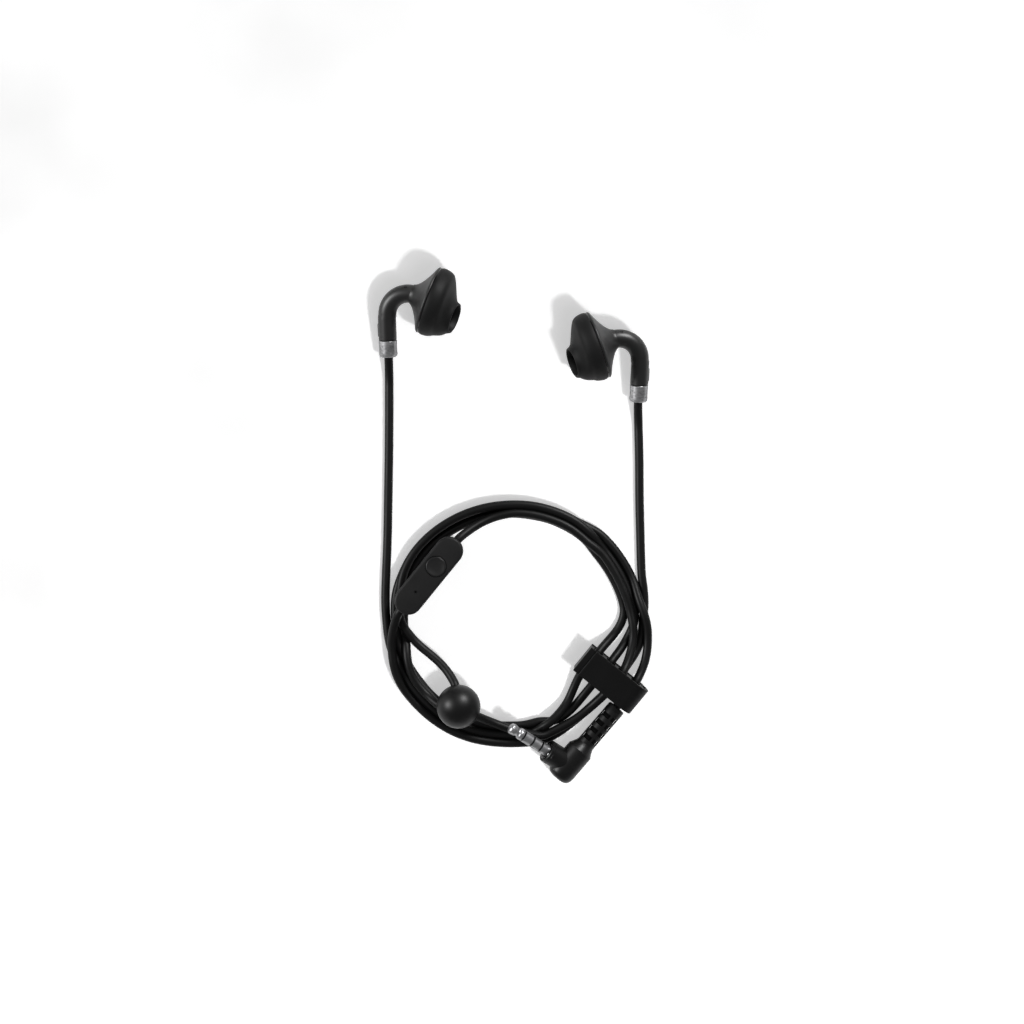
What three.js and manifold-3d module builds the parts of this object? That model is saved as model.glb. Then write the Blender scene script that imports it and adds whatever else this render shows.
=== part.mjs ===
// Wired in-ear earphones with an in-line remote, a ball splitter, a right-angle plug
// and a cable clip, lying on a table with the cable wound once round and clipped.
// Millimetres, +Z up, the table is z = 0. The origin is on the table, in the middle
// of the two earpieces.
import * as THREE from 'three';
import { mergeVertices } from 'three/addons/utils/BufferGeometryUtils.js';
import Module from 'manifold-3d';

const wasm = await Module();
wasm.setup();

// ---- driving dimensions ----------------------------------------------------------

const GAP = 0.3; // clearance between neighbouring pieces
const PIN_GAP = 0.05; // clearance in the stack of plug contacts
const CABLE_R = 1.3;
const CABLE_BORE_R = CABLE_R + GAP;

// Middle of the two earpieces, in the layout that all places below are given in.
const EARS_MIDDLE = new THREE.Vector2(0.46, 52.2);

// earpieces: the rim is the widest circle, the axis points out through the tip
const RIM_R = 10.35;
const TIP_WALL = 0.9;
const MOUTH_U = 8.2; // front of the tip, measured from the rim
const NOZZLE_SHIFT = new THREE.Vector2(-2.2, 1.4); // nozzle centre off the rim's axis
const SHIFT_START_U = 5.0;
const SHIFT_END_U = 6.2;
const NECK_U = -5.1; // rear end of the rear housing
const STEM_R = 2.7;
const ELBOW_R = 6.4;
const ELBOW_TURN = THREE.MathUtils.degToRad(111);
const STEM_STRAIGHT = 7.3;
const COLLAR_LENGTH = 5.0;
const DRIVER_R = 7.0;
const LEFT_EAR = { place: [-23.6, 62.14, 10.4], yaw: -20.9, tilt: 2.4, roll: 17, mirror: 1 };
const RIGHT_EAR = { place: [24.52, 48.97, 10.4], yaw: 200.2, tilt: 1.5, roll: 163, mirror: -1 };

// in-line remote: a flat pill
const REMOTE = { place: [-24.6, -18.8, 5.6], yaw: 50.9 };
const PILL_LENGTH = 27.3;
const PILL_WIDTH = 8.46;
const PILL_HEIGHT = 4.8;
const PILL_WALL = 0.75;
const BUTTON_R = 3.0;
const BUTTON_X = 3.46;
const MIC_X = -6.1;

// splitter ball
const BALL_R = 6.5;
const BALL_PLACE = [-15.8, -57.5, 8.6];

// plug: s runs along the pin from the elbow's centre, q along the cable
const PLUG = { place: [16.7, -75.0, 4.15], yaw: -40.7 };
const PIN_TURN = { place: [0, 0, 0], yaw: 186.9, tilt: 18 };
const PLUG_BODY_R = 4.05;
const BARREL_R = 3.5;
const BARREL_FACE = 8.1;
const PIN_R = 1.75;
const PIN_LENGTH = 14;
const ROD_R = 0.6;
const RELIEF_R = 2.75;
const RELIEF_BORE_R = 1.85;
const RELIEF_START = 8.3;
const RELIEF_END = 22.3;

// cable clip: a sleeve bent round a comb with four cable slots
const CLIP = { place: [29.4, -49.8, 4.75], yaw: -38.9, roll: 6 };
const CLIP_LENGTH = 21.5;
const CLIP_WIDTH = 8.8;
const CLIP_HEIGHT = 8.4;
const CLIP_WALL = 1.0;
const SLOT_AT = [2.8, 7.5, 12.0, 16.9]; // from the open end
const SLOT_HALF = 1.6;

// the wound cable
const COIL = { centre: [1.65, -33.4], outer: [40.0, 37.4], inner: [31.6, 31.0], innerLift: 0.6 };
const COIL_TOP = 5.3;
const COIL_OPEN_X = 7; // the coil is left open where its strands fan out to the clip
const COIL_OPEN_Y = -29;

// ---- materials -------------------------------------------------------------------

function finish(color, roughness, metalness = 0) {
  return new THREE.MeshStandardMaterial({ color, roughness, metalness });
}
const silicone = finish(0x1c1c1d, 0.75);
const softTouch = finish(0x2a2a2b, 0.5);
const satinPlastic = finish(0x202021, 0.35);
const brushedSteel = finish(0xb9b9bb, 0.35, 1);
const nickel = finish(0xc9c7c2, 0.2, 1);
const blackPlastic = finish(0x141415, 0.45);
const cableJacket = finish(0x1a1a1b, 0.6);
const rubber = finish(0x171718, 0.65);
const steelMesh = finish(0x6f7072, 0.4, 1);
const magnetSteel = finish(0x8d8f92, 0.35, 1);
const copper = finish(0xb3673a, 0.35, 1);
const film = finish(0xd8d4c8, 0.3);
const boardGreen = finish(0x1f5c3a, 0.6);

// ---- helpers ---------------------------------------------------------------------

// A geometry as one indexed mesh of positions, without collapsed triangles, facing out.
function weld(geometry) {
  const bare = geometry.clone();
  bare.deleteAttribute('normal');
  bare.deleteAttribute('uv');
  const merged = mergeVertices(bare, 1e-4);
  const position = merged.attributes.position;
  const corners = [new THREE.Vector3(), new THREE.Vector3(), new THREE.Vector3()];
  const triangles = [];
  let volume = 0;
  for (let i = 0; i < merged.index.count; i += 3) {
    const ids = [0, 1, 2].map((k) => merged.index.getX(i + k));
    if (new Set(ids).size < 3) continue;
    triangles.push(ids);
    corners.forEach((corner, k) => corner.fromBufferAttribute(position, ids[k]));
    volume += corners[0].dot(corners[1].clone().cross(corners[2]));
  }
  if (volume < 0) triangles.forEach((ids) => ids.reverse());
  const welded = new THREE.BufferGeometry();
  welded.setAttribute('position', position);
  welded.setIndex(triangles.flat());
  welded.computeVertexNormals();
  return welded;
}

function toSolid(geometry) {
  const welded = weld(geometry);
  const vertProperties = new Float32Array(welded.attributes.position.array);
  const triVerts = new Uint32Array(welded.index.array);
  return new wasm.Manifold(new wasm.Mesh({ numProp: 3, vertProperties, triVerts }));
}

function toGeometry(solid) {
  const { vertProperties, triVerts } = solid.getMesh();
  const geometry = new THREE.BufferGeometry();
  geometry.setAttribute('position', new THREE.BufferAttribute(vertProperties, 3));
  geometry.setIndex(new THREE.BufferAttribute(triVerts, 1));
  geometry.computeVertexNormals();
  return geometry;
}

function cut(geometry, ...tools) {
  return toGeometry(tools.reduce((left, tool) => left.subtract(toSolid(tool)), toSolid(geometry)));
}

function join(geometry, ...others) {
  return toGeometry(others.reduce((sum, other) => sum.add(toSolid(other)), toSolid(geometry)));
}

function piece(name, geometry, material) {
  const mesh = new THREE.Mesh(weld(geometry), material);
  mesh.name = name;
  return mesh;
}

// A body turned about the x axis from [x, radius] points. The points start and end on
// the axis or come back to the first one.
function turned(points, segments = 24) {
  const profile = points.map(([along, radius]) => new THREE.Vector2(radius, along));
  return new THREE.LatheGeometry(profile, segments).rotateZ(-Math.PI / 2);
}

// A hollow or solid cylinder along x.
function rod(from, to, radius, bore = 0, segments = 24) {
  const rim = [[from, radius], [to, radius]];
  if (bore === 0) return turned([[from, 0], ...rim, [to, 0]], segments);
  return turned([[from, bore], ...rim, [to, bore], [from, bore]], segments);
}

function box(sizeX, sizeY, sizeZ, x = 0, y = 0, z = 0) {
  return new THREE.BoxGeometry(sizeX, sizeY, sizeZ).translate(x, y, z);
}

// A tube, or a pipe when it has a bore, along a smooth curve through the points.
function tube(points, radius, { bore = 0, sides = 8, steps = 12 } = {}) {
  const curve = new THREE.CatmullRomCurve3(points.map((p) => new THREE.Vector3(...p)));
  const section = new THREE.Shape();
  section.absarc(0, 0, radius, 0, 2 * Math.PI);
  if (bore > 0) {
    section.holes.push(new THREE.Path().absarc(0, 0, bore, 0, 2 * Math.PI, true));
  }
  return new THREE.ExtrudeGeometry(section, {
    steps,
    extrudePath: curve,
    curveSegments: sides / 2, // an arc takes two sides for each curve segment
    bevelEnabled: false,
  });
}

function placed(spot, ...children) {
  const group = new THREE.Group();
  const { roll = 0, tilt = 0, yaw = 0 } = spot;
  const [x, y, z] = [roll, -tilt, yaw].map(THREE.MathUtils.degToRad);
  group.position.set(...spot.place);
  group.rotation.set(x, y, z, 'ZYX');
  children.forEach((child) => group.add(child));
  group.updateMatrixWorld(true);
  return group;
}

// ---- earpiece --------------------------------------------------------------------
// Local axes: x out through the tip, y up the ear, z towards the face of the wearer's
// ear canal. The nozzle leaves the rim's axis, so the front shells are sheared lathes.

function nozzleShare(u) {
  const t = (u - SHIFT_START_U) / (SHIFT_END_U - SHIFT_START_U);
  return THREE.MathUtils.clamp(t, 0, 1) ** 2;
}

// A lathe whose rings slide sideways: each point is [x, radius, share of the shift].
function sheared(points, mirror, segments) {
  const geometry = turned(points, segments);
  const position = geometry.attributes.position;
  for (let i = 0; i < position.count; i++) {
    const share = points[i % points.length][2];
    position.setY(i, position.getY(i) + share * NOZZLE_SHIFT.x);
    position.setZ(i, position.getZ(i) + share * NOZZLE_SHIFT.y * mirror);
  }
  return geometry;
}

function closed(points) {
  return [...points, points[0]];
}

function earTip(mirror) {
  const outside = [
    [-0.4, 10.1], [0.1, RIM_R], [1.4, RIM_R], [2.9, 10.05], [4.0, 9.1], [5.0, 7.95],
    [5.8, 6.6], [6.2, 5.2], [7.0, 4.85], [7.9, 4.35], [MOUTH_U, 4.0],
  ].map(([u, r]) => [u, r, nozzleShare(u)]);
  const duct = [[MOUTH_U - 0.1, 3.6, 1], [5.5, 3.45, 1]];
  const inside = [
    [5.2, 4.6], [4.9, 5.9], [4.1, 7.1], [3.1, 8.35], [2.0, 9.1], [0.4, 9.45], [-0.4, 9.5],
  ].map(([u, r]) => [u, r, nozzleShare(u + TIP_WALL)]);
  return sheared(closed([...outside, ...duct, ...inside]), mirror, 24);
}

function frontBaffle(mirror) {
  const outside = [
    [-0.4, 9.1], [0.4, 9.1], [1.9, 8.75], [2.85, 8.0], [3.75, 6.9], [4.55, 5.5], [4.85, 4.2],
  ].map(([u, r]) => [u, r, nozzleShare(u + TIP_WALL + GAP)]);
  const nozzle = [[5.05, 3.1, 1], [6.9, 3.1, 1], [6.9, 2.5, 1], [4.3, 2.5, 1]];
  const inside = [
    [3.9, 4.5, 0.44], [3.1, 6.0, 0], [2.2, 7.2, 0], [1.3, 8.0, 0], [-0.4, 8.2, 0],
  ];
  return sheared(closed([...outside, ...nozzle, ...inside]), mirror, 16);
}

function nozzleMesh(mirror) {
  const disc = [[6.2, 0], [6.2, 2.2], [6.5, 2.2], [6.5, 0]].map(([u, r]) => [u, r, 1]);
  return sheared(disc, mirror, 16);
}

function rearHousing() {
  const outside = [
    [-0.7, 9.9], [-0.9, 10.2], [-1.3, 10.1], [-1.9, 8.95], [-2.5, 7.9], [-3.2, 6.4],
    [-3.9, 4.9], [-4.5, 3.8], [NECK_U, 3.15],
  ];
  const inside = [
    [NECK_U, CABLE_BORE_R], [-4.2, CABLE_BORE_R], [-3.9, 3.2], [-3.2, 5.0], [-2.4, 6.7],
    [-1.5, 8.3], [-0.7, 8.6],
  ];
  return turned(closed([...outside, ...inside]), 20);
}

function driverBasket() {
  const wall = DRIVER_R - 0.4;
  return turned(closed([
    [-2.0, 1.0], [-2.0, 5.2], [-1.4, DRIVER_R], [0.9, DRIVER_R], [0.9, wall],
    [-1.2, wall], [-1.6, 5.0], [-1.6, 1.0],
  ]), 20);
}

function diaphragm() {
  return turned(closed([
    [0.85, 0], [0.85, 6.2], [1.1, 6.2], [1.5, 5.0], [1.15, 3.8], [1.6, 2.0], [1.8, 0],
  ]), 20);
}

function elbowStem() {
  const start = NECK_U - GAP;
  const points = [];
  for (let i = 0; i <= 8; i++) {
    const turn = (ELBOW_TURN * i) / 8;
    points.push([start - ELBOW_R * Math.sin(turn), ELBOW_R * (Math.cos(turn) - 1), 0]);
  }
  points.push(alongStem(STEM_STRAIGHT));
  return tube(points, STEM_R, { bore: CABLE_BORE_R, sides: 12, steps: 13 });
}

// A point on the straight part of the stem, measured from the end of the bend.
function alongStem(distance) {
  const start = NECK_U - GAP;
  return [
    start - ELBOW_R * Math.sin(ELBOW_TURN) - distance * Math.cos(ELBOW_TURN),
    ELBOW_R * (Math.cos(ELBOW_TURN) - 1) - distance * Math.sin(ELBOW_TURN),
    0,
  ];
}

function collar() {
  return turned(closed([
    [0, 2.3], [0, STEM_R], [4.3, STEM_R], [4.75, 2.5], [COLLAR_LENGTH, 2.1],
    [COLLAR_LENGTH, CABLE_BORE_R], [3.9, CABLE_BORE_R], [3.4, 2.3],
  ]), 16);
}

const COLLAR_SPOT = {
  place: alongStem(STEM_STRAIGHT + GAP),
  yaw: THREE.MathUtils.radToDeg(ELBOW_TURN) - 180,
};

function earpiece(side, spot) {
  const name = (part) => `${side}_${part}`;
  return placed(
    spot,
    piece(name('ear_tip'), earTip(spot.mirror), silicone),
    piece(name('front_baffle'), frontBaffle(spot.mirror), blackPlastic),
    piece(name('nozzle_mesh'), nozzleMesh(spot.mirror), steelMesh),
    piece(name('rear_housing'), rearHousing(), softTouch),
    piece(name('driver_basket'), driverBasket(), magnetSteel),
    piece(name('driver_magnet'), rod(-1.3, 0.2, 3.0, 0, 16), magnetSteel),
    piece(name('voice_coil'), rod(-0.9, 0.55, 3.75, 3.35, 20), copper),
    piece(name('diaphragm'), diaphragm(), film),
    piece(name('elbow_stem'), elbowStem(), satinPlastic),
    placed(
      COLLAR_SPOT,
      piece(name('collar'), collar(), brushedSteel),
      piece(name('cable_crimp'), rod(0.4, 3.1, 2.0, 0.8, 16), nickel),
    ),
  );
}

// ---- remote ----------------------------------------------------------------------
// Local axes: x along the pill towards the button end, z out through the button.

function stadium(length, width, from, to, edge = 0) {
  const shape = new THREE.Shape();
  const radius = width / 2;
  const half = length / 2 - radius;
  shape.absarc(half, 0, radius, -Math.PI / 2, Math.PI / 2);
  shape.absarc(-half, 0, radius, Math.PI / 2, (3 * Math.PI) / 2);
  const geometry = new THREE.ExtrudeGeometry(shape, {
    depth: to - from - 2 * edge,
    curveSegments: 5,
    bevelEnabled: edge > 0,
    bevelThickness: edge,
    bevelSize: edge,
    bevelOffset: -edge,
    bevelSegments: 2,
  });
  return geometry.translate(0, 0, from + edge);
}

function upright(from, to, radius, x, segments = 20) {
  return rod(from, to, radius, 0, segments).rotateY(-Math.PI / 2).translate(x, 0, 0);
}

function remoteShell(from, to, ...holes) {
  const middle = PILL_HEIGHT / 2;
  const outside = stadium(PILL_LENGTH, PILL_WIDTH, 0, PILL_HEIGHT, 0.7);
  const inner = [PILL_LENGTH - 2 * PILL_WALL, PILL_WIDTH - 2 * PILL_WALL];
  const cavity = stadium(...inner, PILL_WALL, PILL_HEIGHT - PILL_WALL);
  const cableHole = rod(-PILL_LENGTH, PILL_LENGTH, CABLE_BORE_R, 0, 12).translate(0, 0, middle);
  const below = box(40, 20, 10, 0, 0, from - 5);
  const above = box(40, 20, 10, 0, 0, to + 5);
  return cut(outside, cavity, cableHole, below, above, ...holes);
}

function remote() {
  const middle = PILL_HEIGHT / 2;
  const split = GAP / 2;
  const buttonHole = upright(2, 6, BUTTON_R + 0.2, BUTTON_X);
  const micHole = upright(3, 6, 0.35, MIC_X, 8);
  const flange = 3.15;
  const button = turned([
    [flange, 0], [flange, BUTTON_R + 0.35], [3.55, BUTTON_R + 0.35], [3.55, BUTTON_R],
    [4.75, BUTTON_R], [4.95, BUTTON_R - 0.25], [4.8, 1.5], [4.75, 0],
  ], 20);
  const stopAt = 10.4;
  const stop = () => rod(-0.7, 0.7, 1.1, 0, 10);
  return placed(
    REMOTE,
    piece('remote_bottom_shell', remoteShell(-1, middle - split), blackPlastic),
    piece(
      'remote_top_shell',
      remoteShell(middle + split, PILL_HEIGHT + 1, buttonHole, micHole),
      blackPlastic,
    ),
    piece('remote_button', button.rotateY(-Math.PI / 2).translate(BUTTON_X, 0, 0), blackPlastic),
    piece('remote_circuit_board', stadium(18.6, 6.2, 1.2, 1.8), boardGreen),
    piece('remote_switch', upright(1.85, 2.65, 1.7, BUTTON_X, 16), magnetSteel),
    piece('remote_microphone', upright(1.85, 3.3, 1.4, MIC_X, 16), magnetSteel),
    piece('remote_cable_stop_upper', stop().translate(stopAt, 0, middle), nickel),
    piece('remote_cable_stop_lower', stop().translate(-stopAt, 0, middle), nickel),
  );
}

// ---- splitter --------------------------------------------------------------------
// The main cable enters at the top, and one cable for each ear leaves low on a side.

const SPLITTER_WAYS = [[-0.148, 0.989, -0.1], [-0.92, 0.05, -0.38], [0.86, -0.48, -0.3]];

function splitter() {
  const ways = SPLITTER_WAYS.map((way) => {
    const direction = new THREE.Vector3(...way).normalize();
    const turn = new THREE.Quaternion().setFromUnitVectors(new THREE.Vector3(1, 0, 0), direction);
    return rod(0, BALL_R + 2, CABLE_BORE_R, 0, 12).applyQuaternion(turn);
  });
  const coreRoom = box(5.6, 4.6, 3.6);
  return placed(
    { place: BALL_PLACE },
    piece(
      'splitter_ball',
      cut(new THREE.SphereGeometry(BALL_R, 20, 12), coreRoom, ...ways),
      rubber,
    ),
    piece('splitter_core', box(5.0, 4.0, 3.0), nickel),
  );
}

// ---- plug ------------------------------------------------------------------------
// Local axes: y along the cable towards the clip, z up. The pin has a frame of its own,
// with x out through its tip.

function plugBody() {
  const body = turned([
    [-5.4, 0], [-5.3, 2.2], [-4.8, 3.2], [-3.9, 3.85], [-2.8, PLUG_BODY_R], [5.0, PLUG_BODY_R],
    [5.9, 3.75], [7.3, 3.0], [8.0, RELIEF_R], [8.0, 0],
  ], 24).rotateZ(Math.PI / 2);
  const barrel = turned([
    [0, 0], [0, BARREL_R], [BARREL_FACE - 0.3, BARREL_R], [BARREL_FACE, BARREL_R - 0.3],
    [BARREL_FACE, 3.0], [BARREL_FACE - 0.8, 3.0], [BARREL_FACE - 0.8, 0],
  ], 24);
  return join(body, barrel.applyMatrix4(placed(PIN_TURN).matrixWorld));
}

function strainRelief() {
  const sleeve = turned(closed([
    [RELIEF_START, RELIEF_BORE_R], [RELIEF_START, RELIEF_R], [RELIEF_END - 0.4, RELIEF_R],
    [RELIEF_END, RELIEF_R - 0.3], [RELIEF_END, RELIEF_BORE_R],
  ]), 16);
  const windows = [];
  for (let ring = 0; ring < 4; ring++) {
    for (const side of [0, 1]) {
      const across = new THREE.BoxGeometry(1.1, 2.2, 8);
      const quarter = (side * Math.PI) / 2 + Math.PI / 4;
      windows.push(across.rotateX(quarter).translate(10.2 + 2.85 * ring, 0, 0));
    }
  }
  return cut(sleeve, ...windows).rotateZ(Math.PI / 2);
}

// One contact or insulator of the pin, between two distances from its base.
function contact(from, to) {
  return rod(from + PIN_GAP / 2, to - PIN_GAP / 2, PIN_R, ROD_R + 0.15, 16);
}

function plug() {
  const tipFrom = 9.3;
  const tipContact = turned([
    [0, 0], [0, ROD_R], [tipFrom + PIN_GAP, ROD_R], [tipFrom + PIN_GAP, PIN_R],
    [10.2, PIN_R], [10.9, 1.2], [13.1, PIN_R - 0.15], [13.7, 1.0], [PIN_LENGTH, 0],
  ], 20);
  const ring = rod(-0.5, 0.2, 2.75, PIN_R + 0.25, 20);
  const pin = placed(
    PIN_TURN,
    placed(
      { place: [BARREL_FACE, 0, 0] },
      piece('plug_tip', tipContact, nickel),
      piece('plug_insulator_1', contact(8.7, 9.3), blackPlastic),
      piece('plug_ring_1', contact(6.0, 8.7), nickel),
      piece('plug_insulator_2', contact(5.4, 6.0), blackPlastic),
      piece('plug_ring_2', contact(2.9, 5.4), nickel),
      piece('plug_insulator_3', contact(2.3, 2.9), blackPlastic),
      piece('plug_sleeve', contact(-0.5, 2.3), nickel),
      piece('plug_collar', ring, blackPlastic),
    ),
  );
  return placed(
    PLUG,
    pin,
    piece('plug_body', plugBody(), blackPlastic),
    piece('plug_strain_relief', strainRelief(), blackPlastic),
  );
}

// ---- cable clip ------------------------------------------------------------------
// Local axes: x from the open end to the nose, y along the cables, z out of the front.

function outlineAlongY(shape, width) {
  const geometry = new THREE.ExtrudeGeometry(shape, {
    depth: width,
    curveSegments: 6,
    bevelEnabled: false,
  });
  return geometry.translate(0, 0, -width / 2).rotateX(Math.PI / 2);
}

function clipSleeve() {
  const half = CLIP_HEIGHT / 2;
  const inner = half - CLIP_WALL;
  const openEnd = -CLIP_LENGTH / 2;
  const nose = CLIP_LENGTH / 2 - half;
  const shape = new THREE.Shape();
  shape.moveTo(openEnd, -half);
  shape.lineTo(nose, -half);
  shape.absarc(nose, 0, half, -Math.PI / 2, Math.PI / 2);
  shape.lineTo(openEnd, half);
  shape.lineTo(openEnd, inner);
  shape.lineTo(nose, inner);
  shape.absarc(nose, 0, inner, Math.PI / 2, -Math.PI / 2, true);
  shape.lineTo(openEnd, -inner);
  return outlineAlongY(shape, CLIP_WIDTH);
}

function clipComb() {
  const reach = CLIP_HEIGHT / 2 - CLIP_WALL - GAP;
  const floor = 0.7 - reach;
  const openEnd = -CLIP_LENGTH / 2;
  const nose = CLIP_LENGTH / 2 - CLIP_HEIGHT / 2;
  const headUnder = reach - 0.4;
  const mouthHalf = SLOT_HALF - 0.2;
  const shape = new THREE.Shape();
  shape.moveTo(openEnd, -reach);
  shape.lineTo(nose, -reach);
  const lastMouth = openEnd + SLOT_AT.at(-1) + mouthHalf;
  shape.absarc(nose, 0, reach, -Math.PI / 2, Math.acos((lastMouth - nose) / reach));
  for (const at of [...SLOT_AT].reverse()) {
    const x = openEnd + at;
    if (x + mouthHalf < nose) shape.lineTo(x + mouthHalf, reach);
    shape.lineTo(x + mouthHalf, headUnder);
    shape.lineTo(x + SLOT_HALF, headUnder);
    shape.lineTo(x + SLOT_HALF, floor);
    shape.lineTo(x - SLOT_HALF, floor);
    shape.lineTo(x - SLOT_HALF, headUnder);
    shape.lineTo(x - mouthHalf, headUnder);
    shape.lineTo(x - mouthHalf, reach);
  }
  shape.lineTo(openEnd, reach);
  return outlineAlongY(shape, CLIP_WIDTH - 0.6);
}

function clip() {
  return placed(
    CLIP,
    piece('clip_sleeve', clipSleeve(), rubber),
    piece('clip_comb', clipComb(), blackPlastic),
  );
}

// ---- cables ----------------------------------------------------------------------
// The coil is one solid of the wound strands' outer shape. It is open where the strands
// fan out to the four slots of the clip, and those are tubes.

function ellipsePath(kind, [halfX, halfY], lift) {
  const [x, y] = COIL.centre;
  return kind.absellipse(x, y + lift, halfX, halfY, 0, 2 * Math.PI);
}

function coil() {
  const outline = ellipsePath(new THREE.Shape(), COIL.outer, 0);
  outline.holes.push(ellipsePath(new THREE.Path(), COIL.inner, COIL.innerLift));
  const ring = new THREE.ExtrudeGeometry(outline, {
    depth: COIL_TOP - 0.1,
    curveSegments: 28,
    bevelEnabled: false,
  });
  const room = 100;
  const opening = box(room, room, room, COIL_OPEN_X + room / 2, COIL_OPEN_Y - room / 2, 0);
  const ball = new THREE.SphereGeometry(BALL_R + GAP, 16, 10).translate(...BALL_PLACE);
  return cut(ring.translate(0, 0, 0.1), opening, ball);
}

// A point of a placed frame, in the layout.
function inFrame(spots, local) {
  const point = new THREE.Vector3(...local);
  for (const spot of [...spots].reverse()) point.applyMatrix4(placed(spot).matrixWorld);
  return point.toArray();
}

// Where a cable passes through a clip slot, at a height in the slot.
function throughSlot(slot, height, stations = [-6, -2, 2, 6]) {
  const x = SLOT_AT[slot] - CLIP_LENGTH / 2;
  return stations.map((along) => inFrame([CLIP], [x, along, height]));
}

const LOW = -0.82; // height of the lower of two cables in a slot
const HIGH = 1.83;

function leadFrom(ear, rest) {
  const inCollar = [COLLAR_LENGTH - 0.8, COLLAR_LENGTH + 2];
  return [...inCollar.map((x) => inFrame([ear, COLLAR_SPOT], [x, 0, 0])), ...rest];
}

// Each cable's points and how many steps its tube takes.
const CABLES = {
  cable_left_lead: [18, leadFrom(LEFT_EAR, [
    [-36.7, 39.4, 2.6], [-36.7, 33, 1.6], [-36.7, 27.5, 1.4], [-36.8, 15.5, 1.4],
    [-37.0, 3.6, 1.4], [-37.2, -8.4, 1.4], [-38.0, -18.5, 1.4],
  ])],
  cable_right_lead: [14, leadFrom(RIGHT_EAR, [
    [37.8, 26.5, 2.6], [37.9, 21, 1.6], [38.05, 15.5, 1.4], [38.1, 3.6, 1.4],
    [38.4, -8.4, 1.4], [39.2, -16.0, 1.4],
  ])],
  cable_splitter_link: [8, [
    [-16.8, -50.9, 7.9], [-17.7, -48.6, 7.3], [-19.6, -46.4, 6.2], [-22.3, -44.2, 4.6],
    [-25.4, -41.8, 3.0],
  ]],
  cable_remote_link_upper: [5, [
    inFrame([REMOTE], [PILL_LENGTH / 2 - 0.8, 0, PILL_HEIGHT / 2]),
    [-14.2, -6.4, 7.4], [-11.5, -4.0, 7.1], [-8.5, -2.2, 7.0],
  ]],
  cable_remote_link_lower: [5, [
    inFrame([REMOTE], [0.8 - PILL_LENGTH / 2, 0, PILL_HEIGHT / 2]),
    [-34.2, -31.2, 7.7], [-35.2, -34.0, 7.1], [-35.7, -37.2, 7.0],
  ]],
  // the strands run from the coil's lower opening through the clip to its right-hand one
  cable_strand_a: [16, [
    [8.3, -64.7, 1.5], [13.1, -62.3, 1.5], [15.5, -60.0, 1.7], [17.1, -56.8, 2.1],
    [18.3, -53.8, 2.6],
    ...throughSlot(0, -0.4), [28.9, -38.3, 3.4], [32.0, -35.2, 2.4], [33.9, -32.2, 1.8],
    [34.4, -29.7, 1.6],
  ]],
  cable_strand_b: [16, [
    [8.3, -65.4, 4.3], [13.0, -62.6, 4.3], [17.3, -59.2, 4.2], [20.6, -56.0, 3.7],
    ...throughSlot(1, -0.4), [33.0, -40.6, 3.2], [35.6, -36.6, 2.2], [36.9, -33.0, 1.7],
    [37.2, -29.7, 1.6],
  ]],
  cable_strand_c_low: [16, [
    [8.3, -68.0, 1.5], [13.9, -65.4, 1.5], [19.0, -61.3, 1.9], [23.8, -57.5, 2.7],
    ...throughSlot(2, LOW), [36.4, -42.0, 3.3], [38.6, -37.6, 2.2], [39.7, -33.4, 1.7],
    [39.9, -29.7, 1.6],
  ]],
  cable_strand_c_high: [16, [
    [8.3, -68.5, 4.15], [10.5, -67.2, 4.2], [14.5, -65.6, 4.3], [19.6, -62.0, 4.8],
    [24.0, -57.7, 5.5],
    ...throughSlot(2, HIGH), [35.2, -42.6, 6.4], [36.4, -38.0, 5.4], [36.7, -33.6, 4.6],
    [36.6, -29.7, 4.3],
  ]],
  cable_strand_d: [20, [
    ...[0.2, 4.5, 8.5, 12.5].map((q) => inFrame([PLUG], [0, RELIEF_START + q, 0])),
    ...throughSlot(3, 0, [-3, 1, 5]), [39.6, -45.8, 5.2], [40.6, -41.0, 5.0], [40.7, -35.5, 4.7],
    [40.3, -29.7, 4.4],
  ]],
};

function cables() {
  const tubes = Object.entries(CABLES).map(([name, [steps, points]]) =>
    piece(name, tube(points, CABLE_R, { steps }), cableJacket));
  return [...tubes, piece('cable_coil', coil(), cableJacket)];
}

// ---- the whole -------------------------------------------------------------------

const earphones = new THREE.Group();
earphones.add(
  earpiece('left', LEFT_EAR),
  earpiece('right', RIGHT_EAR),
  remote(),
  splitter(),
  plug(),
  clip(),
  ...cables(),
);
earphones.position.set(-EARS_MIDDLE.x, -EARS_MIDDLE.y, 0);

export default earphones;
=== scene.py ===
import math

import bmesh
import bpy
import numpy as np
from mathutils import Matrix, Vector


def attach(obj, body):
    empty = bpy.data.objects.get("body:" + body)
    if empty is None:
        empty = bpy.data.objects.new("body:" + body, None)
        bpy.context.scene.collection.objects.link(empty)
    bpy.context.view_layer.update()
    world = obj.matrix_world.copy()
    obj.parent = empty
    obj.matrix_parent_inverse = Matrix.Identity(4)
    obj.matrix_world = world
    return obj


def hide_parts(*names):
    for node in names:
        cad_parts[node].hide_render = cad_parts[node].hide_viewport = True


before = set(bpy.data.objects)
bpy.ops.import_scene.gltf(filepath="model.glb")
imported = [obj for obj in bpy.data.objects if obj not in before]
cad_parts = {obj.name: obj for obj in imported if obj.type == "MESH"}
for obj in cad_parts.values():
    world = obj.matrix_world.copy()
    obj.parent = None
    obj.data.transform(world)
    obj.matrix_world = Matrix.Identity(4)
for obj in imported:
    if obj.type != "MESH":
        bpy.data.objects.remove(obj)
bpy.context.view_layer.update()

# Wired earphones lying on a white table. Lengths are in millimetres in the layout that
# the CAD uses, and TO_ROW turns them into the row frame's metres.

MM = 0.001
EARS_MIDDLE = (0.46, 52.2)
CABLE_R = 1.3

# ---- places that the CAD sets ------------------------------------------------------

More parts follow.
